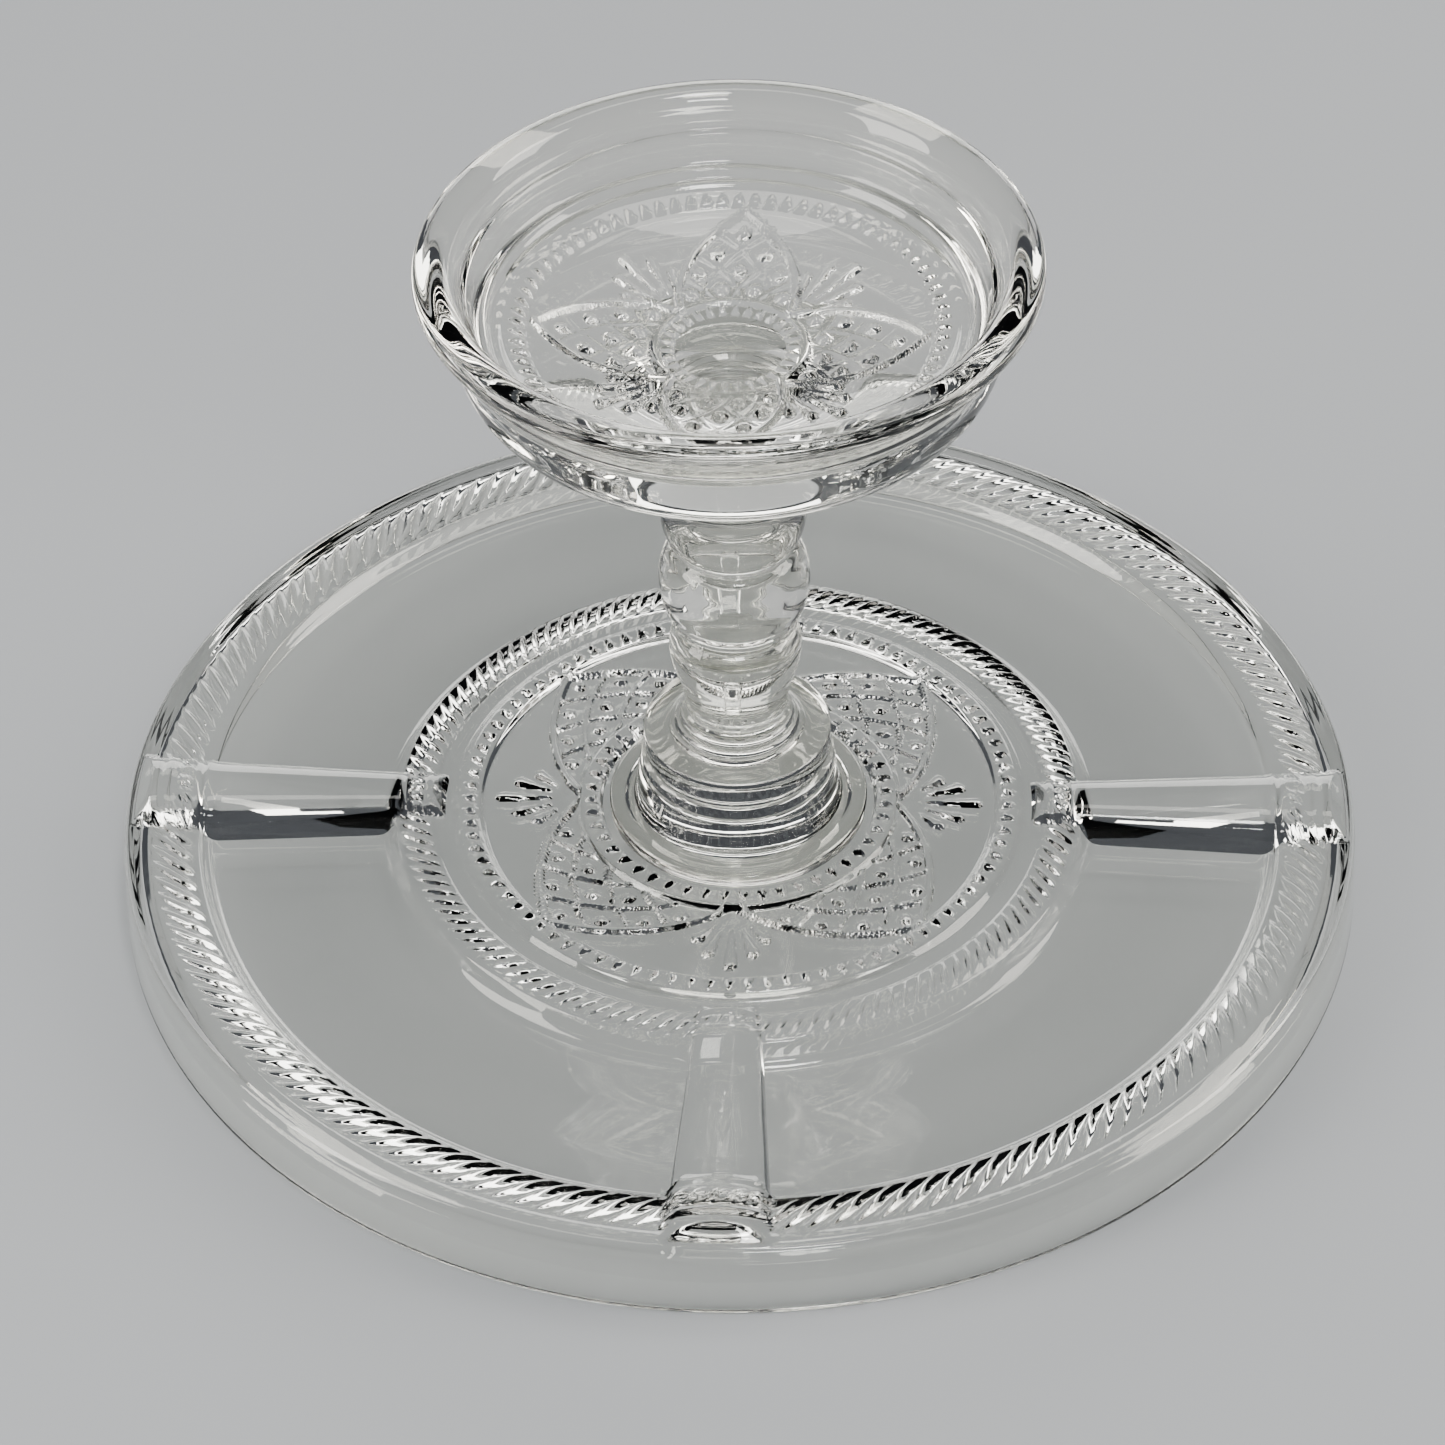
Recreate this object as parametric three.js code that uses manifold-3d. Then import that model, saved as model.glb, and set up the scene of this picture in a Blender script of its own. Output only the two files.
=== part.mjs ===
// Chip and dip server in clear pressed glass.
// Two loose glass pieces: a round footed tray with four chip sections, and a pedestal
// dip bowl whose foot stands in the plain circle at the middle of the tray.
// Millimetres, +Z up, origin on the axis at the level of the surface the tray stands on.

import * as THREE from 'three';
import { mergeVertices } from 'three/addons/utils/BufferGeometryUtils.js';
import Module from 'manifold-3d';

// ---- driving dimensions ---------------------------------------------------------------

const TRAY_RADIUS = 162;          // bottom edge of the tray's skirt
const SKIRT_WALL = 2.4;           // skirt thickness at its bottom edge
const LAND_RADIUS = 160;          // outer edge of the flat land on the rim
const LAND_LEVEL = 20.2;          // height of the land and of the inner rope band
const TROUGH_LEVEL = 14.4;        // floor of the chip sections
const TROUGH_OUTER = 139.8;       // chip sections end here
const TROUGH_INNER = 91.3;        // and start here
const PLATEAU_LEVEL = 19.8;       // patterned middle of the tray
const RING_LEVEL = 21.6;          // flat tops of the two toothed rings
const SEAT_RADIUS = 35.4;         // plain circle that the foot stands in
const SEAT_LEVEL = 19.9;
const FLOOR_THICKNESS = 4.5;      // glass between the top and the underside

const REST_GAP = 0.3;             // between the foot and the seat
const FOOT_RADIUS = 33.7;         // flange of the pedestal's foot
const FOOT_RECESS = 1.2;          // shallow hollow under the foot
const DISC_RADIUS = 24.2;         // straight-sided disc above the foot
const BOWL_RADIUS = 76.2;         // outside of the rolled rim
const BOWL_TOP = 197.3;           // top of the rolled rim
const BOWL_MOUTH = 66.6;          // inner edge of the rolled rim
const BOWL_FLOOR = 168;           // middle of the bowl's floor

const TRAY_SEGMENTS = 72;
const BOWL_SEGMENTS = 48;

const FOOT_LEVEL = SEAT_LEVEL + REST_GAP;

// ---- helpers --------------------------------------------------------------------------

// Points on a circular arc in a profile's plane; angles in degrees from the +radius axis.
function arc(centreR, centreZ, radius, fromDegrees, toDegrees, steps) {
  const points = [];
  for (let i = 0; i <= steps; i += 1) {
    const angle = THREE.MathUtils.degToRad(fromDegrees + ((toDegrees - fromDegrees) * i) / steps);
    points.push([centreR + radius * Math.cos(angle), centreZ + radius * Math.sin(angle)]);
  }
  return points;
}

// A smooth curve through the given [radius, height] points, in the given number of steps.
function smooth(points, steps) {
  const curve = new THREE.SplineCurve(points.map(([r, z]) => new THREE.Vector2(r, z)));
  return curve.getPoints(steps).map((p) => [p.x, p.y]);
}

// Turns a profile about the Z axis. It runs from the axis underneath, round the outside,
// and back to the axis on top, so that the faces point outwards.
function turned(profile, segments) {
  const outline = profile.map(([r, z]) => new THREE.Vector2(Math.max(r, 0), z));
  const geometry = new THREE.LatheGeometry(outline, segments);
  geometry.rotateX(Math.PI / 2);
  return geometry;
}

const wasm = await Module();
wasm.setup();

// A geometry as a manifold solid, with its shared vertices merged.
function solid(geometry) {
  const bare = geometry.clone();
  bare.deleteAttribute('normal');
  bare.deleteAttribute('uv');
  const merged = mergeVertices(bare, 1e-4);
  const vertProperties = new Float32Array(merged.attributes.position.array);
  const triVerts = new Uint32Array(merged.index.array);
  return new wasm.Manifold(new wasm.Mesh({ numProp: 3, vertProperties, triVerts }));
}

// A manifold solid as a three.js geometry.
function asGeometry(body) {
  const mesh = body.getMesh();
  const geometry = new THREE.BufferGeometry();
  geometry.setAttribute('position', new THREE.BufferAttribute(mesh.vertProperties, 3));
  geometry.setIndex(new THREE.BufferAttribute(mesh.triVerts, 1));
  geometry.computeVertexNormals();
  return geometry;
}

// ---- tray -----------------------------------------------------------------------------

const BAND_OUTER = 154.6;         // outer rope band, from the land's crisp inner edge
const BAND_INNER = 141.3;         // to the top of the riser down to the chip sections
const BAND_DROP = 1.3;            // the band slopes down towards the middle
const INNER_BAND_OUTER = 89.4;
const INNER_BAND_INNER = 80;
const BEVEL = 1.8;                // width of the bevels on the toothed rings

// Toothed ring: a low flat-topped ridge with a bevel on each side, from outside to inside.
function toothedRing(outerR, innerR, innerLevel) {
  return [
    [outerR, PLATEAU_LEVEL],
    [outerR - 1.4 * BEVEL, RING_LEVEL],
    [innerR + BEVEL, RING_LEVEL],
    [innerR, innerLevel],
  ];
}

function trayProfile() {
  const underPlateau = PLATEAU_LEVEL - FLOOR_THICKNESS;
  const underTrough = TROUGH_LEVEL - FLOOR_THICKNESS;
  const underside = [
    [0, underPlateau],
    [86, underPlateau],
    [93, underTrough],
    [138, underTrough],
    [145, underPlateau - 0.6],
    [LAND_RADIUS - 3.4, underPlateau],
    [LAND_RADIUS - 2.4, underPlateau - 1],
    [TRAY_RADIUS - SKIRT_WALL, 0],
  ];
  const rim = [
    [TRAY_RADIUS, 0],
    [TRAY_RADIUS - 0.8, 17.8],
    [TRAY_RADIUS - 1.2, 19.2],
    [LAND_RADIUS, LAND_LEVEL],
    [157.6, LAND_LEVEL + 0.2],
    [BAND_OUTER + 0.6, LAND_LEVEL],
  ];
  const trough = [
    [BAND_OUTER, LAND_LEVEL - 0.3],
    [BAND_INNER, LAND_LEVEL - BAND_DROP],
    [TROUGH_OUTER + 0.3, TROUGH_LEVEL + 0.8],
    [TROUGH_OUTER - 1, TROUGH_LEVEL],
    [TROUGH_INNER + 1, TROUGH_LEVEL],
    [TROUGH_INNER - 0.3, TROUGH_LEVEL + 0.8],
    [INNER_BAND_OUTER, LAND_LEVEL],
    [INNER_BAND_INNER, LAND_LEVEL],
    [INNER_BAND_INNER - 0.3, PLATEAU_LEVEL],
  ];
  const middle = [
    ...toothedRing(75.6, 66.4, PLATEAU_LEVEL),
    ...toothedRing(43, SEAT_RADIUS, SEAT_LEVEL),
    [0, SEAT_LEVEL],
  ];
  return [...underside, ...rim, ...trough, ...middle];
}

// Dividers between the chip sections: radial arched bars that widen towards the rim.
const DIVIDER_COUNT = 4;
const DIVIDER_STATIONS = [77, 79.6, 87, 93, 116, 138, 144.5, 152, 155, 159.2];
const DIVIDER_SECTION_STEPS = 8;
const DIVIDER_SHOULDER = LAND_LEVEL - 0.1;

function dividerHalfWidth(r) {
  return 7.8 + (r - 78) * 0.078;
}

// Height of the arch above its shoulders: it grows outwards and is cut off at a slant
// at each end.
function dividerRise(r) {
  const along = (r - 80) / (152 - 80);
  const arch = 2.4 + 1.4 * along;
  const innerEnd = (r - 77) / 2.6;
  const outerEnd = (159.2 - r) / 4.2;
  return Math.max(0.25, arch * Math.min(1, innerEnd, outerEnd));
}

// Level of the buried foot of the bar: inside the floor of the chip sections, and inside
// the higher glass at its two ends.
function dividerRoot(r) {
  const overTrough = r > 90 && r < 140;
  return overTrough ? TROUGH_LEVEL - 2 : LAND_LEVEL - 2.7;
}

// The bar is a half-round section of unit size, extruded in as many steps as it has
// stations, and then every point is moved out to its station's own width and height.
function divider(angle) {
  const section = new THREE.Shape();
  section.moveTo(-1, -1);
  section.lineTo(1, -1);
  for (let i = 0; i <= DIVIDER_SECTION_STEPS; i += 1) {
    const turn = (Math.PI * i) / DIVIDER_SECTION_STEPS;
    section.lineTo(Math.cos(turn), Math.sin(turn));
  }
  section.closePath();
  const steps = DIVIDER_STATIONS.length - 1;
  const geometry = new THREE.ExtrudeGeometry(section, { depth: steps, steps, bevelEnabled: false });
  const position = geometry.attributes.position;
  for (let i = 0; i < position.count; i += 1) {
    const r = DIVIDER_STATIONS[Math.round(position.getZ(i))];
    const across = position.getX(i);
    const up = position.getY(i);
    const depth = DIVIDER_SHOULDER - dividerRoot(r);
    const rise = up > 0 ? up * dividerRise(r) : up * depth;
    position.setXYZ(i, r, across * dividerHalfWidth(r), DIVIDER_SHOULDER + rise);
  }
  geometry.rotateZ(angle);
  return geometry;
}

function trayGeometry() {
  let tray = solid(turned(trayProfile(), TRAY_SEGMENTS));
  for (let i = 0; i < DIVIDER_COUNT; i += 1) {
    tray = tray.add(solid(divider((2 * Math.PI * i) / DIVIDER_COUNT)));
  }
  return asGeometry(tray);
}

// ---- pedestal dip bowl ----------------------------------------------------------------

function bowlProfile() {
  const foot = [
    [0, FOOT_LEVEL + FOOT_RECESS],
    [FOOT_RADIUS - 5, FOOT_LEVEL + FOOT_RECESS],
    [FOOT_RADIUS - 3.5, FOOT_LEVEL],
    [FOOT_RADIUS, FOOT_LEVEL],
    [FOOT_RADIUS, FOOT_LEVEL + 3],
    [FOOT_RADIUS - 1, FOOT_LEVEL + 3.8],
    [27.4, 24.2],
    [26.9, 25.4],
    [26.2, 28.2],
    [25.5, 35],
    [24.7, 35.6],
    [25.1, 36.4],
    [25, 38.6],
    [23.8, 39.4],
  ];
  const disc = [
    [DISC_RADIUS, 40.2],
    [DISC_RADIUS, 46.6],
    [DISC_RADIUS - 0.8, 47.2],
    [17.2, 47.4],
  ];
  const stem = smooth([
    [15.2, 49.6],
    [13.4, 54.8],
    [13.9, 61.5],
    [16.3, 69.5],
    [17, 74.5],
    [14.6, 82],
    [17.6, 88],
    [19.1, 97.5],
    [15.1, 109],
    [18.4, 118.3],
    [15.7, 134],
    [21.5, 150],
    [34, 159],
  ], 36);
  const wall = [
    [50, 161],
    [61.5, 164.8],
    [65.6, 169],
    [69.8, 184],
    [70.6, 188.6],
  ];
  const rim = [
    ...arc(72.6, 193.4, BOWL_RADIUS - 72.6, -75, 65, 6),
    [71.8, BOWL_TOP - 0.15],
    [69.4, BOWL_TOP],
    [BOWL_MOUTH + 0.8, BOWL_TOP - 0.3],
    [BOWL_MOUTH, BOWL_TOP - 1.2],
  ];
  const inside = [
    [63.4, 187.2],
    [61.4, 180.4],
    [59.4, 177.6],
    [54, 175.8],
    [40, 172.2],
    [22, 168.9],
    [0, BOWL_FLOOR],
  ];
  return [...foot, ...disc, ...stem, ...wall, ...rim, ...inside];
}

// ---- assembly -------------------------------------------------------------------------

const glass = new THREE.MeshStandardMaterial({
  color: new THREE.Color(0.93, 0.94, 0.92),
  roughness: 0.04,
  metalness: 0,
  transparent: true,
  opacity: 0.35,
});

function piece(name, geometry) {
  const mesh = new THREE.Mesh(geometry, glass.clone());
  mesh.name = name;
  return mesh;
}

const group = new THREE.Group();
group.add(piece('divided_tray', trayGeometry()));
group.add(piece('pedestal_dip_bowl', turned(bowlProfile(), BOWL_SEGMENTS)));

export default group;
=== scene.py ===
import math

import bpy
import numpy as np
from mathutils import Matrix, Vector


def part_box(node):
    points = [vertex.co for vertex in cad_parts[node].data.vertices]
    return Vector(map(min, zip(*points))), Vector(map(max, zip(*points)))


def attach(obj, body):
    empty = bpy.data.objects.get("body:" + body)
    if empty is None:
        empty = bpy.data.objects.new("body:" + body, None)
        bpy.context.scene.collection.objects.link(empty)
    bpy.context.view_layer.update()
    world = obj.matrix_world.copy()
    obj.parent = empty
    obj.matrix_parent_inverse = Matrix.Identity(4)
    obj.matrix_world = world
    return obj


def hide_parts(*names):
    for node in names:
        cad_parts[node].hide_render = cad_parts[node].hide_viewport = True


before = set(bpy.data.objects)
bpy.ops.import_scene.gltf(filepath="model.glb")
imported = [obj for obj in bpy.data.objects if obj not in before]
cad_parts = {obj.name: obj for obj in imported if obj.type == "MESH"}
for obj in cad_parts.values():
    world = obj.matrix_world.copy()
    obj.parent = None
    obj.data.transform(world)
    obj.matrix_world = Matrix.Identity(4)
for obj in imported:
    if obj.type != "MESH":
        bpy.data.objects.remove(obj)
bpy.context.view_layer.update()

# ---- sizes -------------------------------------------------------------------
# Millimetres, because a pressed-glass pattern is drawn in millimetres; meshes are
# scaled to metres once, in glass_body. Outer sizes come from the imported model.

METRES = 0.001
tray_high = np.array(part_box("divided_tray")[1]) / METRES
bowl_low, bowl_high = (np.array(corner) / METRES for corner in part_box("pedestal_dip_bowl"))

TRAY_R = tray_high[0]                 # foot edge of the skirt
LAND = 20.2                           # level of the rim's land and of the inner rope band
LAND_OUTER, LAND_INNER = TRAY_R - 2.0, TRAY_R - 7.0
ROPE_OUT, ROPE_IN = TRAY_R - 8.0, TRAY_R - 19.0
TROUGH_OUT, TROUGH_IN = 139.8, 91.3   # the chip sections lie between these radii
TROUGH = 14.4                         # and have their floor at this level
INNER_ROPE_OUT, INNER_ROPE_IN = 89.4, 80.0
PLATEAU = 19.8                        # level of the tray's patterned middle
RING = 21.6                           # level of the two toothed rings
SEAT = 19.9                           # level of the plain circle that the foot stands in
GLASS = 4.5                           # glass under the tray's top surface

FOOT = bowl_low[2]
FOOT_R = 33.7                         # flange of the foot
BOWL_TOP = bowl_high[2]
BOWL_R = bowl_high[0]
BOWL_FLOOR = 168.0                    # middle of the bowl's floor
BOWL_TURN = -2.7                      # how far the loose bowl is turned on the tray, degrees

QUARTER = 90.0                        # the tray's and the bowl's patterns come four times
CREASE = math.radians(45)             # edges sharper than this are shown sharp


# ---- surfaces ----------------------------------------------------------------

def stations(points, step):
    """Rows down a profile: each straight stretch between [r, z] points is cut into
    equal parts no longer than step. The first point is left out, so that stretches
    can follow each other."""
    rows = []
    for start, end in zip(points, points[1:]):
        start, end = np.array(start, float), np.array(end, float)
        parts = max(1, math.ceil(np.hypot(*(end - start)) / step))
        rows += [start + (end - start) * k / parts for k in range(1, parts + 1)]
    return np.array(rows)


def arc(r, z, radius, start, end, steps):
    """Points (r + radius cos a, z + radius sin a), a from start to end degrees."""
    angles = np.radians(np.linspace(start, end, steps + 1))
    return [[r + radius * math.cos(a), z + radius * math.sin(a)] for a in angles]


def curve(points, steps):
    """A Catmull-Rom curve through [r, z] points, steps parts to each stretch: a cubic whose
    slope at each point is half the way from the point before to the point after."""
    p = np.array([points[0], *points, points[-1]], float)
    t = np.linspace(0, 1, steps, endpoint=False)[:, None]
    parts = []
    for a, b, c, d in zip(p, p[1:], p[2:], p[3:]):
        parts.append(0.5 * (2 * b + (c - a) * t + (2 * a - 5 * b + 4 * c - d) * t ** 2
                            + (3 * b - a - 3 * c + d) * t ** 3))
    return [*np.concatenate(parts).tolist(), list(points[-1])]


def ring_faces(low, low_n, high, high_n):
    """Triangles between two rows of points round the axis. The rows have as many
    points, or one has twice as many, or one is a single pole."""
    if low_n == high_n:
        j = np.arange(low_n)
        k = (j + 1) % low_n
        return [np.stack([low + j, low + k, high + k], 1), np.stack([low + j, high + k, high + j], 1)]
    if low_n == 1:
        j = np.arange(high_n)
        return [np.stack([0 * j + low, high + (j + 1) % high_n, high + j], 1)]
    if high_n == 1:
        j = np.arange(low_n)
        return [np.stack([low + j, low + (j + 1) % low_n, 0 * j + high], 1)]
    if low_n == 2 * high_n:
        j = np.arange(high_n)
        k = (j + 1) % high_n
        a, b, c = low + 2 * j, low + 2 * j + 1, low + (2 * j + 2) % low_n
        return [np.stack([a, b, high + j], 1), np.stack([b, high + k, high + j], 1),
                np.stack([b, c, high + k], 1)]
    if high_n == 2 * low_n:
        j = np.arange(low_n)
        k = (j + 1) % low_n
        a, b, c = high + 2 * j, high + 2 * j + 1, high + (2 * j + 2) % high_n
        return [np.stack([low + j, low + k, b], 1), np.stack([low + j, b, a], 1),
                np.stack([low + k, c, b], 1)]
    raise ValueError("rows do not match")


def glass_body(name, rows):
    """A closed body from rows of (x, y, z) in millimetres, each an array of points round
    the axis, from the pole underneath to the pole on top. It is shaded smooth but for
    creases."""
    points = np.concatenate(rows) * METRES
    starts = np.cumsum([0] + [len(row) for row in rows])
    faces = []
    for i in range(len(rows) - 1):
        faces += ring_faces(starts[i], len(rows[i]), starts[i + 1], len(rows[i + 1]))
    faces = np.concatenate(faces)
    mesh = bpy.data.meshes.new(name)
    mesh.vertices.add(len(points))
    mesh.vertices.foreach_set("co", points.astype(np.float32).ravel())
    mesh.loops.add(faces.size)
    mesh.loops.foreach_set("vertex_index", faces.astype(np.int32).ravel())
    mesh.polygons.add(len(faces))
    mesh.polygons.foreach_set("loop_start", np.arange(0, faces.size, 3, dtype=np.int32))
    mesh.polygons.foreach_set("use_smooth", np.ones(len(faces), bool))
    mesh.update(calc_edges=True)
    mesh.validate()
    mesh.set_sharp_from_angle(angle=CREASE)
    piece = bpy.data.objects.new(name, mesh)
    bpy.context.scene.collection.objects.link(piece)
    return piece


def turned_rows(profile, columns, top, shift=0.0):
    """Rows of points for stations [r, z], columns to a turn; top(r, angle, z) gives each
    point's angle and height, so that it can carry a pattern. shift turns the rows, in
    radians, and is one number or one for each station."""
    rows = []
    for index, (r, z) in enumerate(profile):
        turn = shift[index] if np.ndim(shift) else shift
        angle = 2 * np.pi * np.arange(columns) / columns + turn
        if r < 1e-6:
            rows.append(np.array([[0.0, 0.0, z]]))
            continue
        angle, height = top(r, angle, z)
        rows.append(np.stack([r * np.cos(angle), r * np.sin(angle), height], 1))
    return rows


def plain(r, angle, z):
    """No pattern: every point of the row has the row's height."""
    return angle, np.full(angle.shape, float(z))


# ---- pattern -----------------------------------------------------------------
# Heights in millimetres over the plain surface, as functions of radius and angle.

def dome(distance, power=1.0):
    """(1 - d^2)^power inside distance 1, nothing outside."""
    return np.clip(1 - np.asarray(distance) ** 2, 0, None) ** power


def edge(x):
    """Smooth step 3x^2 - 2x^3, from 0 to 1 as x goes from 0 to 1."""
    x = np.clip(x, 0, 1)
    return x * x * (3 - 2 * x)


def folded(angle, centre, share=QUARTER):
    """Degrees from the nearest of the pattern's repeats, one of which is at centre."""
    return (np.degrees(angle) - centre + share / 2) % share - share / 2


def rope(r, angle, outer, inner, strokes, twist, height, width):
    """Slanted lens-shaped strokes across a band: along a stroke the angle grows by twist
    radians from outer to inner, and its height and width swell as sin(pi t)^0.6. width is
    a stroke's share of its pitch."""
    t = (outer - r) / (outer - inner)
    if not 0 < t < 1:
        return np.zeros_like(angle)
    across = (strokes * (angle - twist * t) / (2 * np.pi)) % 1 - 0.5
    swell = math.sin(math.pi * t) ** 0.6
    return height * swell * dome(across / (0.5 * width * swell))


def circle(r, at, height, half_width):
    """A plain round-topped ridge running round the axis at radius at."""
    return height * dome((r - at) / half_width)


def teeth(r, angle, base, tip, count, height):
    """Small faceted wedges round a ring. A wedge narrows evenly from the base radius to a
    quarter of its width at the tip radius, and climbs evenly from both sides and from its
    broad end to a flat top. Widths are shares of the pitch."""
    t = (r - base) / (tip - base)
    if not 0 <= t <= 1:
        return np.zeros_like(angle)
    half_width, side_slope, back_share = 0.42, 0.22, 0.25
    across = np.abs((count * angle / (2 * np.pi)) % 1 - 0.5)
    sides = (half_width * (1 - 0.75 * t) - across) / side_slope
    return height * np.clip(np.minimum(sides, t / back_share), 0, 1)


LEAF_RIDGE, LEAF_RIDGE_HALF = 1.5, 1.1         # height and half width of a leaf's outline
LATTICE = (-0.31, 0.14, 0.59)                  # fine lines: -1 is the far corner, 1 the side
LATTICE_HALF = 0.85                            # half width of a fine line
BEAD_PITCH = 0.456                             # share of a leaf's spread between beads
BEAD_SHARE = 0.8                               # a bead's height over its radius


def leaf(r, angle, centre, base, tip, spread, bead_rows, bead, mesh):
    """Leaf outlined by a ridge. With u the angle from its middle over spread, and v the
    share of the way from base to tip, its two sides are the lines v + u = 1 and v - u = 1,
    and fine lines of height mesh cross it parallel to both. Beads of radius bead sit in
    rows at the given radii, four in the first row and one fewer in each of the next."""
    offset = folded(angle, centre)
    v = (r - base) / (tip - base)
    if not -0.1 < v < 1.1:
        return np.zeros_like(angle)
    along = offset / spread
    half_base = math.radians(spread) * r
    side_mm = half_base * (tip - base) / math.hypot(tip - base, half_base)
    height = np.zeros_like(angle)
    for side in (1, -1):
        line = side * along + v
        other = v - side * along
        inside = (other < 1.02) & (v > -0.04)
        ridge = LEAF_RIDGE * dome((line - 1) * side_mm / LEAF_RIDGE_HALF, 0.7)
        height = np.maximum(height, ridge * inside)
        for mesh_line in LATTICE:
            fine = mesh * dome((line - mesh_line) * side_mm / LATTICE_HALF)
            height = np.maximum(height, fine * inside * (line < 1) * (v > 0))
    for row, row_r in enumerate(bead_rows):
        count = 4 - row
        for k in range(count):
            bead_at = (k - (count - 1) / 2) * BEAD_PITCH * spread
            distance = np.hypot(np.radians(offset - bead_at) * r, r - row_r)
            height = np.maximum(height, BEAD_SHARE * bead * dome(distance / bead, 0.6))
    return height


PETAL = 1.6                                    # height of a petal's head


def petals(r, angle, centre, heads, width):
    """Fan of teardrops. Each is a rounded ridge along the line from a tail to a head, and
    grows evenly from a quarter of its width and 0.4 of its height to a head of radius
    width. Both ends are given in degrees from the fan's middle and as a radius."""
    offset = np.radians(folded(angle, centre))
    x, y = r * np.sin(offset), r * np.cos(offset)
    height = np.zeros_like(angle)
    for head_at, head_r, tail_at, tail_r in heads:
        for side in ((1, -1) if head_at else (1,)):
            head = head_r * np.array([math.sin(math.radians(side * head_at)),
                                      math.cos(math.radians(head_at))])
            tail = tail_r * np.array([math.sin(math.radians(side * tail_at)),
                                      math.cos(math.radians(tail_at))])
            reach = head - tail
            t = np.clip(((x - tail[0]) * reach[0] + (y - tail[1]) * reach[1]) / (reach @ reach), 0, 1)
            distance = np.hypot(x - tail[0] - t * reach[0], y - tail[1] - t * reach[1])
            radius = width * (0.25 + 0.75 * t)
            height = np.maximum(height, PETAL * dome(distance / radius, 0.6) * (0.4 + 0.6 * t))
    return height


# ---- tray --------------------------------------------------------------------

ROPE_COLUMNS = 1280
TOP_COLUMNS = 640
UNDER_COLUMNS = 160
ROPE_STROKES, INNER_STROKES = 160, 128
ROPE_SHIFT = 15 * 2 * math.pi / ROPE_COLUMNS      # columns follow the strokes' slant
INNER_SHIFT = 13 * 2 * math.pi / ROPE_COLUMNS
DIVIDER_IN, DIVIDER_OUT = 77.0, 159.2
WALL_WIDTH = 0.9                                  # plan width of a divider's steep side
END_SLOPES = (0.95, 0.9)                          # rise over run of a divider's inner and outer end
COLLARS = (81.3, 87.0, 140.2, 150.4)              # radii of the dividers' raised collars
COLLAR_RISE, COLLAR_HALF = 0.55, 1.1              # height and half width of a collar
COLLAR_BEADS = ((84.2, 1.45), (145.4, 2.2))       # radius of a row of beads, and of its beads
COLLAR_BEAD_RISE = 0.8                            # height of one of these beads

# Each petal: head angle and radius, tail angle and radius.
TRAY_PETALS = ((0, 62.0, 0, 49.5), (5.7, 57.8, 3.2, 49.5), (9.4, 53.0, 5.4, 47.8))


def divider_half(r):
    """Half the divider's width, in millimetres, at radius r: it widens evenly outwards."""
    return 7.5 + 0.068 * (r - 78.0)


def divider_top(r, offset):
    """Height of a divider's arched top: (1 - x^2)^0.55 across it, times a crest that rises
    evenly outwards. Two collars, with a row of five beads between them, cross each end,
    and a slanting plane at each end cuts off what is above it."""
    across = r * np.sin(np.radians(offset)) / divider_half(r)
    crest = 3.0 + 1.3 * (r - 80) / 72
    rise = crest * dome(across, 0.55)
    collars = COLLAR_RISE * sum(dome((r - at) / COLLAR_HALF) for at in COLLARS)
    rise += collars * (np.abs(across) < 1)
    for row_r, bead in COLLAR_BEADS:
        for k in range(-2, 3):
            bead_x = 0.4 * k
            distance = np.hypot((across - bead_x) * divider_half(r), r - row_r)
            rise += COLLAR_BEAD_RISE * dome(distance / bead, 0.6)
    ends = min(END_SLOPES[0] * (r - DIVIDER_IN), END_SLOPES[1] * (DIVIDER_OUT - r))
    return LAND + np.minimum(rise, max(ends, 0.0))


def snapped(r, angle):
    """Angles moved slightly, each stretch between columns evenly, so that a column of
    points lies along the top of each divider's side wall and another along its foot."""
    pitch = QUARTER * 4 / TOP_COLUMNS
    top_column, foot_column = 9.5 * pitch, 11.5 * pitch
    offset = folded(angle, 0)
    x = np.abs(offset)
    top = math.degrees(math.asin(divider_half(r) / r))
    foot = top + math.degrees(WALL_WIDTH / r)
    moved = np.interp(x, [0, top_column, foot_column, QUARTER / 2], [0, top, foot, QUARTER / 2])
    return angle + np.radians(np.sign(offset) * (moved - x))


def tray_top(r, angle, z):
    """Angle and height of each point of the tray's upper surface: the row's own height and
    the pattern on it, blended into a divider's top across the divider's steep sides."""
    if TROUGH_IN - 0.5 < r < TROUGH_OUT + 0.5:
        angle = snapped(r, angle)
    height = np.full(angle.shape, float(z))
    height += rope(r, angle, ROPE_OUT, ROPE_IN, ROPE_STROKES, ROPE_SHIFT, height=1.15, width=0.86)
    height += rope(r, angle, INNER_ROPE_OUT - 0.5, INNER_ROPE_IN + 0.8, INNER_STROKES,
                   INNER_SHIFT, height=1.1, width=0.6)
    height += teeth(r, angle, base=68.7, tip=72.6, count=90, height=1.5)
    height += teeth(r, angle, base=36.7, tip=40.4, count=48, height=1.5)
    height += leaf(r, angle, centre=45, base=42.6, tip=67.0, spread=41.5,
                   bead_rows=(46.6, 51.7, 57.3, 62.6), bead=1.9, mesh=1.2)
    if 42 < r < 66:
        height += petals(r, angle, 0, TRAY_PETALS, width=1.8)
    if DIVIDER_IN < r < DIVIDER_OUT:
        offset = folded(angle, 0)
        x = r * np.abs(np.sin(np.radians(offset)))
        over = edge((divider_half(r) + WALL_WIDTH - x) / WALL_WIDTH)
        bar = divider_top(r, offset)
        height = np.maximum(height, height + (bar - height) * over)
    return angle, height


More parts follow.
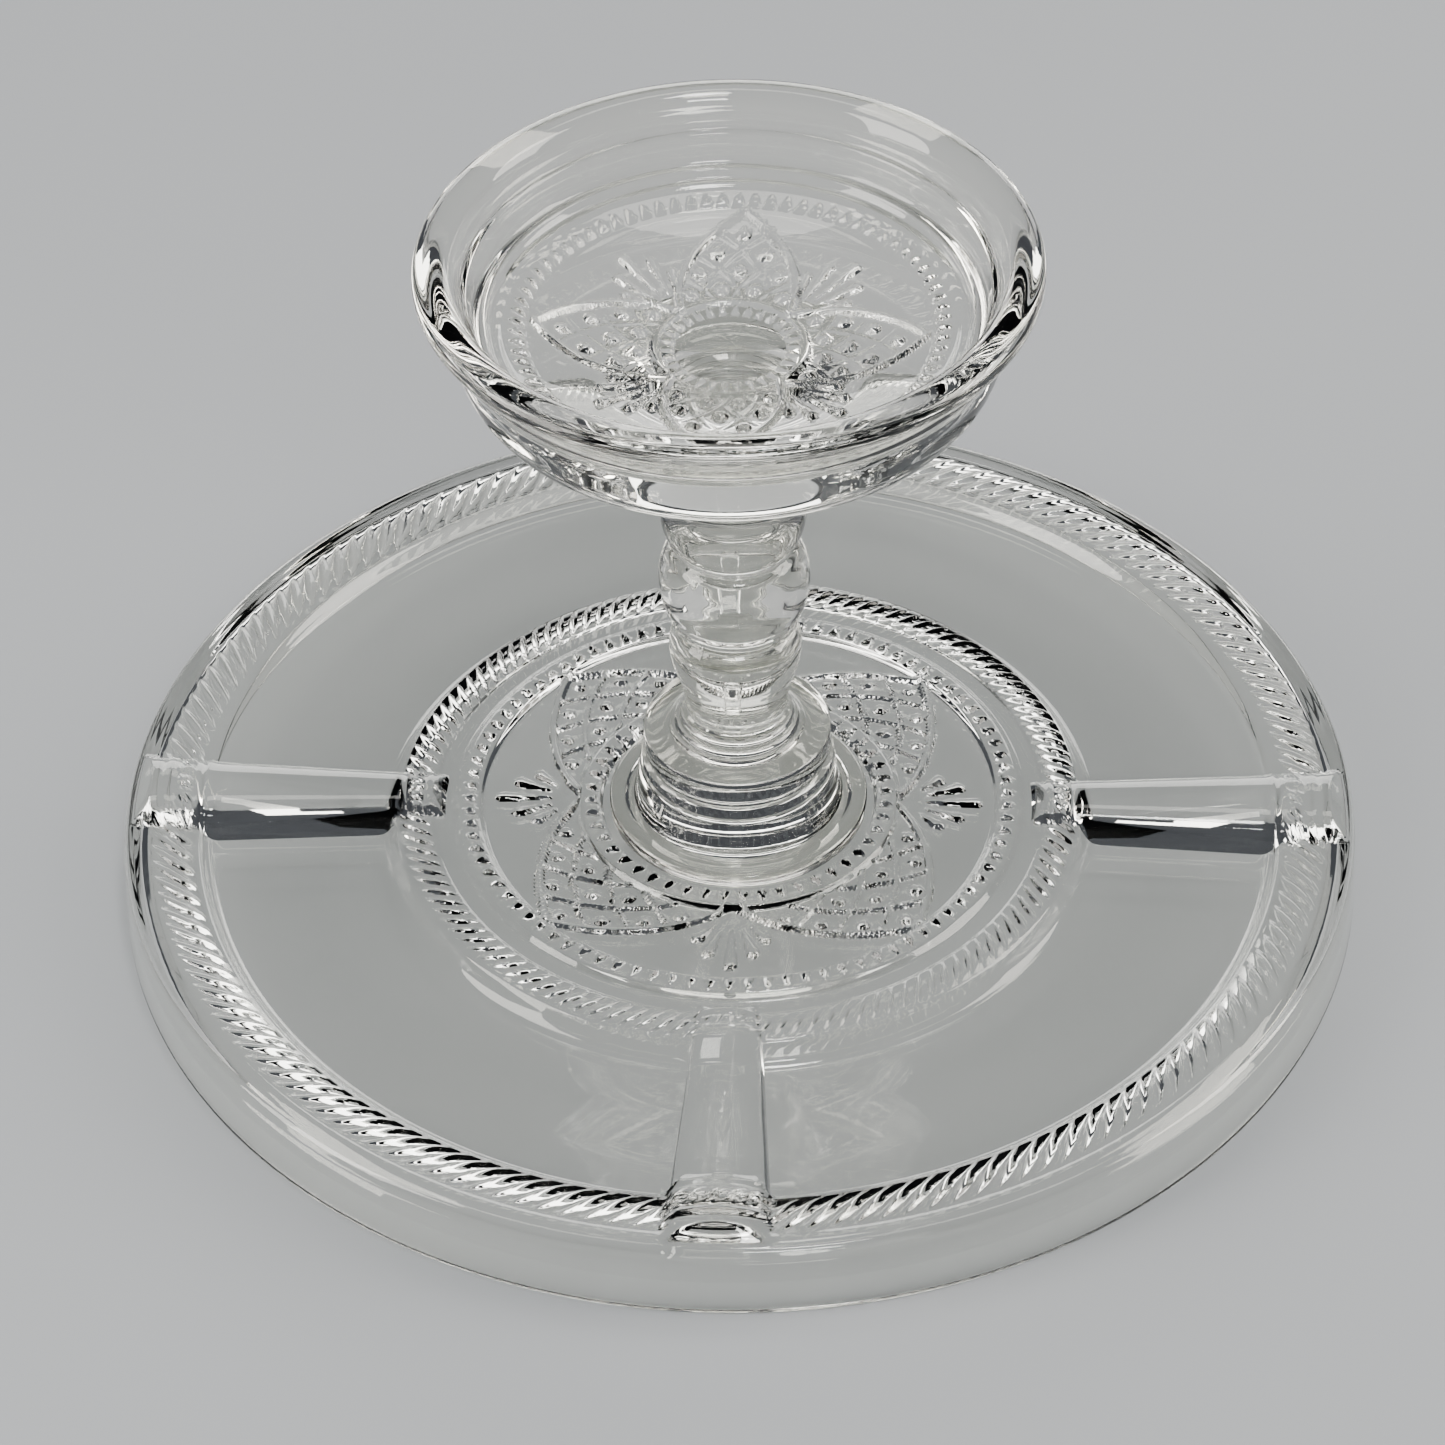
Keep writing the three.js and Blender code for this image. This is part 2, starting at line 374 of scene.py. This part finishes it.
def tray_rows():
    """The whole tray: a profile turned about the axis, from the middle of the underside
    round the skirt to the middle of the seat."""
    under = PLATEAU - GLASS
    trough_under = TROUGH - GLASS
    rows = [np.array([[0.0, 0.0, under]])]

    def lay(points, step, columns, top=plain, start=0.0, end=0.0):
        """Adds the rows of a stretch, turned evenly from start to end on the way."""
        profile = stations(points, step)
        shift = np.linspace(start, end, len(profile) + 1)[1:]
        rows.extend(turned_rows(profile, columns, top, shift))

    lay([[0, under], [4, under], [84, under], [87, under - 0.5], [91.5, trough_under + 0.5],
         [94, trough_under], [136, trough_under], [139, trough_under + 0.6],
         [144, under - 1.4], [147, under - 0.6], [LAND_OUTER - 5.5, under],
         [LAND_OUTER - 3.4, under - 0.5], [LAND_OUTER - 2.6, under - 1.6],
         [TRAY_R - 2.55, 0.5]], 20, UNDER_COLUMNS)
    lay([[TRAY_R - 2.55, 0.5], *arc(TRAY_R - 2.15, 0.4, 0.4, 190, 270, 3),
         *arc(TRAY_R - 0.45, 0.4, 0.4, 270, 350, 3), [TRAY_R - 0.05, 0.6]], 3, 2 * UNDER_COLUMNS)
    lay([[TRAY_R - 0.05, 0.6], [TRAY_R - 0.8, 17.6], [TRAY_R - 0.95, 18.4],
         [TRAY_R - 1.3, 19.3], [LAND_OUTER, LAND - 0.1]], 6, 2 * UNDER_COLUMNS)
    lay([[LAND_OUTER, LAND - 0.1], [LAND_OUTER - 0.6, LAND + 0.12]], 1, TOP_COLUMNS, tray_top)
    lay([[LAND_OUTER - 0.6, LAND + 0.12], [157.6, LAND + 0.3], [LAND_INNER + 0.5, LAND + 0.1],
         [LAND_INNER, LAND - 0.1]], 0.75, TOP_COLUMNS, tray_top)
    lay([[LAND_INNER, LAND - 0.1], [ROPE_OUT, LAND - 0.3]], 1, ROPE_COLUMNS, tray_top)
    lay([[ROPE_OUT, LAND - 0.3], [ROPE_IN, LAND - 1.3]], 1.11, ROPE_COLUMNS, tray_top,
        start=0, end=ROPE_SHIFT)
    kept = (ROPE_SHIFT, ROPE_SHIFT)
    lay([[ROPE_IN, LAND - 1.3], [142.2, LAND - 1.4]], 0.9, ROPE_COLUMNS, tray_top, *kept)
    lay([[142.2, LAND - 1.4], [141.4, LAND - 1.8], [140.6, LAND - 2.7], [139.6, TROUGH + 1.6],
         [138.5, TROUGH + 0.5], [137.0, TROUGH]], 1.6, TOP_COLUMNS, tray_top, *kept)
    lay([[137.0, TROUGH], [95, TROUGH]], 14, TOP_COLUMNS, tray_top, *kept)
    lay([[95, TROUGH], [93.4, TROUGH + 0.4], [92.2, TROUGH + 1.3], [90.9, TROUGH + 3.4],
         [90.1, LAND - 0.9], [89.5, LAND - 0.1]], 2, TOP_COLUMNS, tray_top, *kept)
    after = ROPE_SHIFT + INNER_SHIFT
    lay([[89.5, LAND - 0.1], [88.9, LAND]], 1, ROPE_COLUMNS, tray_top, *kept)
    lay([[88.9, LAND], [INNER_ROPE_IN + 0.8, LAND]], 0.91, ROPE_COLUMNS, tray_top,
        start=ROPE_SHIFT, end=after)
    kept = (after, after)
    lay([[INNER_ROPE_IN + 0.8, LAND], [INNER_ROPE_IN + 0.1, LAND - 0.05],
         [INNER_ROPE_IN - 0.3, PLATEAU], [76.2, PLATEAU], [75.4, PLATEAU + 0.1],
         [73.3, RING - 0.12], [72.7, RING], [68.6, RING], [68.1, RING - 0.12],
         [66.7, PLATEAU + 0.1], [66.2, PLATEAU]], 0.75, TOP_COLUMNS, tray_top, *kept)
    lay([[66.2, PLATEAU], [43.2, PLATEAU]], 0.7, TOP_COLUMNS, tray_top, *kept)
    lay([[43.2, PLATEAU], [42.7, PLATEAU + 0.1], [41.3, RING - 0.12], [40.7, RING],
         [36.9, RING], [36.4, RING - 0.12]], 0.7, TOP_COLUMNS, tray_top, *kept)
    lay([[36.4, RING - 0.12], [35.6, SEAT + 0.1], [34.9, SEAT]], 1, TOP_COLUMNS // 2, plain, *kept)
    lay([[34.9, SEAT], [20, SEAT]], 8, TOP_COLUMNS // 4, plain, *kept)
    lay([[20, SEAT], [6, SEAT], [0, SEAT]], 8, TOP_COLUMNS // 8, plain, *kept)
    return rows


# ---- pedestal bowl -----------------------------------------------------------

BOWL_COLUMNS = 160
FLOOR_COLUMNS = 4 * BOWL_COLUMNS
SEAM_AT, SEAM_SHARE = 236, 120        # one of the mould seams, and the degrees between them
SEAM_RISE, SEAM_HALF = 0.14, 0.7      # height and half width of a seam
BOWL_PETALS = ((0, 40.5, 0, 27.0), (8.2, 36.5, 4.6, 26.0), (13.5, 31.5, 7.8, 24.0))


def floor_level(r):
    """The bowl's dished floor: a shallow parabola that rises by 11 at radius 60.6."""
    return BOWL_FLOOR + 11.0 * (r / 60.6) ** 2


def bowl_floor(r, angle, z):
    """Angle and height of each point of the bowl's floor: the row's own height and the
    pattern on it, which is turned with the bowl."""
    turned = angle - math.radians(BOWL_TURN)
    height = np.full(angle.shape, float(z))
    height += teeth(r, turned, base=49.6, tip=53.4, count=80, height=1.5)
    height += circle(r, 56.5, height=0.45, half_width=0.9)
    height += teeth(r, turned, base=13.6, tip=17.2, count=30, height=1.5)
    height += circle(r, 18.6, height=0.8, half_width=1.2)
    height += leaf(r, turned, centre=0, base=19.6, tip=48.0, spread=43.5,
                   bead_rows=(23.0, 29.0, 35.0, 40.8), bead=2.0, mesh=0.2)
    if 20 < r < 44:
        height += petals(r, turned, 45, BOWL_PETALS, width=1.6)
    return angle, height


def seam(r, angle, z):
    """Three fine mould seams on the disc of the foot and the lower stem: each row rises a
    little, (1 - d^2), where it crosses one."""
    from_seam = np.radians(folded(angle, SEAM_AT, SEAM_SHARE)) * r
    return angle, z + SEAM_RISE * dome(from_seam / SEAM_HALF)


def bowl_rows():
    """The pedestal bowl: a profile turned about the axis, from the hollow under the foot,
    up the stem and over the rim, to the middle of the floor."""
    rows = [np.array([[0.0, 0.0, FOOT + 1.2]])]

    def lay(points, step, columns, top=plain):
        """Adds the rows of a stretch."""
        rows.extend(turned_rows(stations(points, step), columns, top))

    lay([[0, FOOT + 1.2], [8, FOOT + 1.2]], 10, BOWL_COLUMNS // 2)
    lay([[8, FOOT + 1.2], [28.6, FOOT + 1.2]], 11, BOWL_COLUMNS)
    lay([[28.6, FOOT + 1.2], [29.6, FOOT + 0.2], [30.2, FOOT], [FOOT_R - 0.5, FOOT],
         [FOOT_R - 0.1, FOOT + 0.15], [FOOT_R, FOOT + 0.6], [FOOT_R, FOOT + 2.7],
         [FOOT_R - 0.25, FOOT + 3.3], [FOOT_R - 0.9, FOOT + 3.75], [FOOT_R - 1.6, FOOT + 3.85],
         [28.0, FOOT + 4.0], [27.3, FOOT + 4.25], [26.95, FOOT + 5.0]], 2, BOWL_COLUMNS)
    lay(curve([[26.95, FOOT + 5.0], [26.3, FOOT + 8.0], [25.8, FOOT + 11.5],
               [25.5, FOOT + 15.0]], 4), 3, BOWL_COLUMNS)
    lay([[25.5, FOOT + 15.0], [25.3, FOOT + 15.4], [24.7, FOOT + 15.6], [24.7, FOOT + 16.1],
         [25.1, FOOT + 16.4], [25.0, FOOT + 18.6], [24.6, FOOT + 18.9], [23.8, FOOT + 19.2],
         [23.7, FOOT + 19.7], [24.1, FOOT + 20.0], [24.3, FOOT + 20.3], [24.25, FOOT + 26.7],
         [24.1, FOOT + 26.95], [23.7, FOOT + 27.1], [17.9, FOOT + 27.15]], 1.6, BOWL_COLUMNS, seam)
    lay([[17.9, FOOT + 27.15], [17.4, FOOT + 27.5], [17.0, FOOT + 28.2], [16.2, FOOT + 28.5],
         [16.0, FOOT + 29.2], [15.6, FOOT + 30.0], [14.9, FOOT + 30.3], [14.8, FOOT + 31.2],
         [14.4, FOOT + 32.0], [13.9, FOOT + 32.3], [14.1, FOOT + 33.2], [14.0, FOOT + 34.2],
         [13.4, FOOT + 34.6]], 1, BOWL_COLUMNS, seam)
    lay(curve([[13.4, 54.5], [13.4, 58.0], [13.9, 61.5], [14.9, 65.0], [16.3, 69.5], [17.0, 74.5],
               [16.7, 77.8], [15.6, 80.4], [14.4, 81.9]], 5), 3, BOWL_COLUMNS, seam)
    lay([[14.4, 81.9], [14.6, 82.5], [15.9, 83.2], [16.2, 84.0], [15.8, 84.6], [16.5, 85.1],
         [16.9, 86.0], [16.6, 86.7], [17.3, 87.2], [17.8, 88.2], [17.5, 89.0], [18.0, 89.5]],
        1, BOWL_COLUMNS, seam)
    lay(curve([[18.0, 89.5], [18.8, 92.5], [19.2, 96.5], [19.1, 100.0], [18.3, 103.6],
               [16.8, 106.7], [15.2, 108.3]], 4), 3, BOWL_COLUMNS, seam)
    lay(curve([[15.2, 108.3], [15.1, 109.5], [16.6, 111.4], [17.9, 114.4], [18.4, 118.3],
               [17.9, 123.0], [16.3, 129.0], [15.7, 134.5], [17.4, 142.0], [21.5, 150.0],
               [27.4, 155.2], [34.0, 158.6], [42.0, 160.2], [50.0, 161.4]], 3), 4, BOWL_COLUMNS)
    lay(curve([[50.0, 161.4], [57.0, 162.8], [62.5, 165.6], [65.8, 170.2], [67.6, 175.4],
               [68.9, 181.0]], 3), 4, BOWL_COLUMNS)
    lay([[68.9, 181.0], [69.0, 181.5], [69.35, 181.7], [69.5, 182.2], [69.9, 184.0]], 2,
        BOWL_COLUMNS)
    lay(curve([[69.9, 184.0], [70.3, 186.3], [71.0, 188.0], [72.3, 189.2], [73.9, 190.1],
               [75.5, 191.6], [BOWL_R, 193.4], [76.0, 195.0], [75.0, 196.3], [73.4, 197.0],
               [71.0, BOWL_TOP], [68.9, BOWL_TOP - 0.4], [67.3, 195.7], [66.2, 193.6],
               [65.4, 191.3], [65.0, 189.4]], 3), 2, BOWL_COLUMNS)
    lay([[65.0, 189.4], [64.8, 188.8], [64.4, 188.4], [63.7, 188.1], [63.4, 187.6]], 1,
        BOWL_COLUMNS)
    lay(curve([[63.4, 187.6], [62.9, 185.0], [62.4, 182.6], [61.8, 181.0], [60.9, 180.2],
               [60.2, 180.3], [59.4, 180.1], [58.9, 179.2], [58.2, floor_level(58.2)]], 3),
        3, BOWL_COLUMNS)
    lay([[58.2, floor_level(58.2)], [57.9, floor_level(57.9)]], 1, FLOOR_COLUMNS // 2)
    radii = np.arange(57.6, 9.4, -0.62)
    rows.extend(turned_rows([[r, floor_level(r)] for r in radii], FLOOR_COLUMNS, bowl_floor))
    lay([[radii[-1], floor_level(radii[-1])], [8.4, floor_level(8.4)]], 2,
        FLOOR_COLUMNS // 2)
    lay([[8.4, floor_level(8.4)], [5.0, floor_level(5.0)]], 4, BOWL_COLUMNS)
    lay([[5.0, floor_level(5.0)], [2.0, BOWL_FLOOR], [0, BOWL_FLOOR]], 4, BOWL_COLUMNS // 2)
    return rows


# ---- material ----------------------------------------------------------------

def node(tree, kind, at, **values):
    """A shader node with its sockets or settings filled in."""
    made = tree.nodes.new(kind)
    made.location = at
    for name, value in values.items():
        if name in made.inputs:
            made.inputs[name].default_value = value
        else:
            setattr(made, name, value)
    return made


def pressed_glass_group():
    """Node group: how a pressed-glass surface differs from a perfect one. It gives a
    slightly uneven tint, a roughness that is a little higher where the glass is worn and
    handled, and a normal with the slow waves and fine orange peel left by the mould."""
    group = bpy.data.node_groups.new("pressed glass surface", "ShaderNodeTree")
    face = group.interface
    for name, kind, value in (("Clear", "NodeSocketColor", (1, 1, 1, 1)),
                              ("Deep", "NodeSocketColor", (0.9, 0.9, 0.85, 1)),
                              ("Waves", "NodeSocketFloat", 0.1), ("Wear", "NodeSocketFloat", 0.5)):
        socket = face.new_socket(name=name, in_out="INPUT", socket_type=kind)
        socket.default_value = value
    for name, kind in (("Color", "NodeSocketColor"), ("Roughness", "NodeSocketFloat"),
                       ("Normal", "NodeSocketVector")):
        face.new_socket(name=name, in_out="OUTPUT", socket_type=kind)
    inside = node(group, "NodeGroupInput", (-900, 0))
    out = node(group, "NodeGroupOutput", (700, 0))
    where = node(group, "ShaderNodeTexCoord", (-900, -300))
    tint = node(group, "ShaderNodeTexNoise", (-600, 300), Scale=9.0, Detail=3.0)
    mixed = node(group, "ShaderNodeMix", (0, 300), data_type="RGBA")
    smear = node(group, "ShaderNodeTexNoise", (-600, 0), Scale=38.0, Detail=5.0, Distortion=1.5)
    rough = node(group, "ShaderNodeMapRange", (-300, 0))
    rough.inputs["From Min"].default_value = 0.5
    rough.inputs["From Max"].default_value = 0.8
    rough.inputs["To Min"].default_value = 0.015
    scaled = node(group, "ShaderNodeMath", (-450, 160), operation="MULTIPLY")
    scaled.inputs[1].default_value = 0.12
    slow = node(group, "ShaderNodeTexNoise", (-600, -300), Scale=26.0, Detail=2.0)
    peel = node(group, "ShaderNodeTexNoise", (-600, -560), Scale=420.0, Detail=2.0)
    bump = node(group, "ShaderNodeBump", (100, -300), Distance=0.0012)
    fine = node(group, "ShaderNodeBump", (350, -400), Strength=0.05, Distance=0.0001)
    link = group.links.new
    for texture in (tint, smear, slow, peel):
        link(where.outputs["Object"], texture.inputs["Vector"])
    link(tint.outputs["Fac"], mixed.inputs["Factor"])
    link(inside.outputs["Clear"], mixed.inputs[6])
    link(inside.outputs["Deep"], mixed.inputs[7])
    link(smear.outputs["Fac"], rough.inputs["Value"])
    link(inside.outputs["Wear"], scaled.inputs[0])
    link(scaled.outputs[0], rough.inputs["To Max"])
    link(inside.outputs["Waves"], bump.inputs["Strength"])
    link(slow.outputs["Fac"], bump.inputs["Height"])
    link(peel.outputs["Fac"], fine.inputs["Height"])
    link(bump.outputs["Normal"], fine.inputs["Normal"])
    link(mixed.outputs[2], out.inputs["Color"])      # 6, 7 and 2 are the Mix node's colours
    link(rough.outputs["Result"], out.inputs["Roughness"])
    link(fine.outputs["Normal"], out.inputs["Normal"])
    return group


def clear_glass(name, group, clear, deep, waves, wear):
    """Pressed soda-lime glass. Light on its way to the floor goes straight through, and is
    dimmed where it meets the glass at a slant, so that the shadow has the glass's outlines."""
    material = bpy.data.materials.new(name)
    material.use_nodes = True
    tree = material.node_tree
    tree.nodes.clear()
    surface = node(tree, "ShaderNodeGroup", (-300, 0), node_tree=group, Waves=waves, Wear=wear)
    surface.inputs["Clear"].default_value = (*clear, 1)
    surface.inputs["Deep"].default_value = (*deep, 1)
    shader = node(tree, "ShaderNodeBsdfPrincipled", (0, 0), IOR=1.5)
    shader.inputs["Transmission Weight"].default_value = 1.0
    shader.inputs["Metallic"].default_value = 0.0
    facing = node(tree, "ShaderNodeLayerWeight", (-500, 420), Blend=0.5)
    shade = node(tree, "ShaderNodeValToRGB", (-300, 420))
    shade.color_ramp.elements[0].color = (0.91, 0.915, 0.905, 1)
    shade.color_ramp.elements[1].color = (0.30, 0.31, 0.31, 1)
    shade.color_ramp.elements[0].position = 0.35
    shade.color_ramp.elements[1].position = 0.95
    through = node(tree, "ShaderNodeBsdfTransparent", (0, 260))
    path = node(tree, "ShaderNodeLightPath", (0, 700))
    unseen = node(tree, "ShaderNodeMath", (180, 600), operation="MAXIMUM")
    mix = node(tree, "ShaderNodeMixShader", (300, 100))
    out = node(tree, "ShaderNodeOutputMaterial", (520, 100))
    link = tree.links.new
    link(surface.outputs["Color"], shader.inputs["Base Color"])
    link(surface.outputs["Roughness"], shader.inputs["Roughness"])
    link(surface.outputs["Normal"], shader.inputs["Normal"])
    link(facing.outputs["Facing"], shade.inputs["Fac"])
    link(shade.outputs["Color"], through.inputs["Color"])
    link(path.outputs["Is Shadow Ray"], unseen.inputs[0])
    link(path.outputs["Is Diffuse Ray"], unseen.inputs[1])
    link(unseen.outputs[0], mix.inputs[0])
    link(shader.outputs[0], mix.inputs[1])
    link(through.outputs[0], mix.inputs[2])
    link(mix.outputs[0], out.inputs["Surface"])
    return material


def floor_material():
    """Plain pale studio floor with a very faint mottle."""
    material = bpy.data.materials.new("studio floor")
    material.use_nodes = True
    tree = material.node_tree
    shader = tree.nodes["Principled BSDF"]
    shader.inputs["Roughness"].default_value = 0.7
    where = node(tree, "ShaderNodeTexCoord", (-800, 0))
    noise = node(tree, "ShaderNodeTexNoise", (-600, 0), Scale=3.0, Detail=2.0)
    ramp = node(tree, "ShaderNodeValToRGB", (-400, 0))
    ramp.color_ramp.elements[0].color = (0.35, 0.365, 0.39, 1)
    ramp.color_ramp.elements[1].color = (0.38, 0.395, 0.42, 1)
    tree.links.new(where.outputs["Object"], noise.inputs["Vector"])
    tree.links.new(noise.outputs["Fac"], ramp.inputs["Fac"])
    tree.links.new(ramp.outputs["Color"], shader.inputs["Base Color"])
    return material


# ---- pieces ------------------------------------------------------------------

surface_group = pressed_glass_group()
tray_glass = clear_glass("tray glass", surface_group, (0.97, 0.97, 0.95), (0.94, 0.94, 0.905), 0.03, 0.5)
bowl_glass = clear_glass("bowl glass", surface_group, (0.965, 0.962, 0.93), (0.935, 0.93, 0.88), 0.03, 0.3)

tray = glass_body("tray_pressing", tray_rows())
tray.data.materials.append(tray_glass)
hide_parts("divided_tray")
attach(tray, "tray")

bowl = glass_body("dip_bowl_pressing", bowl_rows())
bowl.data.materials.append(bowl_glass)
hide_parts("pedestal_dip_bowl")
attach(bowl, "dip_bowl")


# ---- studio ------------------------------------------------------------------

def studio_floor(size):
    """A flat square of pale floor under the object."""
    mesh = bpy.data.meshes.new("studio_floor")
    half = size / 2
    level = -0.0002
    corners = [(-half, -half, level), (half, -half, level), (half, half, level), (-half, half, level)]
    mesh.from_pydata(corners, [], [(0, 1, 2, 3)])
    mesh.materials.append(floor_material())
    ground = bpy.data.objects.new("studio_floor", mesh)
    bpy.context.scene.collection.objects.link(ground)


def softbox(name, at, aim, width, height, power, colour):
    """A rectangular area light at a point, facing another, that the camera doesn't see."""
    light = bpy.data.lights.new(name, "AREA")
    light.shape = "RECTANGLE"
    light.size, light.size_y = width, height
    light.energy = power
    light.color = colour
    lamp = bpy.data.objects.new(name, light)
    lamp.visible_camera = False
    bpy.context.scene.collection.objects.link(lamp)
    direction = Vector(aim) - Vector(at)
    lamp.matrix_world = Matrix.Translation(at) @ direction.to_track_quat("-Z", "Y").to_matrix().to_4x4()


def camera(azimuth, elevation, distance, aim, lens, roll):
    """A camera at a distance from aim, looking at it from a direction given in degrees,
    azimuth 0 being from -Y, and then rolled."""
    az, el, turn = (math.radians(value) for value in (azimuth, elevation, roll))
    back = Vector((math.sin(az) * math.cos(el), -math.cos(az) * math.cos(el), math.sin(el)))
    right = Vector((math.cos(az), math.sin(az), 0))
    up = back.cross(right)
    right, up = (right * math.cos(turn) + up * math.sin(turn),
                 up * math.cos(turn) - right * math.sin(turn))
    data = bpy.data.cameras.new("camera")
    data.lens = lens
    data.sensor_width = 36
    eye = bpy.data.objects.new("camera", data)
    bpy.context.scene.collection.objects.link(eye)
    eye.matrix_world = Matrix.Translation(Vector(aim) + back * distance) @ Matrix(
        (right, up, back)).transposed().to_4x4()
    bpy.context.scene.camera = eye


def studio_world():
    """A dim, even room, which gives the glass dark outlines against the pale floor."""
    world = bpy.data.worlds.new("studio")
    world.use_nodes = True
    room = world.node_tree.nodes["Background"]
    room.inputs["Color"].default_value = (0.8, 0.85, 0.95, 1)
    room.inputs["Strength"].default_value = 0.1
    bpy.context.scene.world = world


studio_floor(8.0)
middle = (0, 0, 0.08)
# Name, place, aim, width, height, watts, colour.
softbox("left window", (-1.3, -0.5, 0.75), middle, 0.8, 1.1, 24, (1.0, 0.97, 0.91))
softbox("right window", (1.4, 0.1, 0.9), middle, 0.7, 1.1, 20, (1.0, 0.96, 0.89))
softbox("back wall", (0.0, 2.3, 0.62), (0.0, 0.0, 0.3), 2.6, 0.9, 30, (1.0, 0.99, 0.96))
softbox("top panel", (0.2, -0.2, 2.2), middle, 0.35, 0.35, 11, (1.0, 0.99, 0.96))
softbox("ceiling panel", (0.0, 0.8, 2.0), middle, 1.2, 0.3, 4.5, (1.0, 0.98, 0.93))
softbox("front panel", (0.3, -1.6, 1.6), middle, 0.5, 0.3, 12, (1.0, 0.99, 0.96))
studio_world()
bpy.context.scene.view_settings.look = "AgX - Medium High Contrast"
camera(2.9, 41.595, 1.334, (-0.0038, 0, 0.0471), 128.3, -1.2)
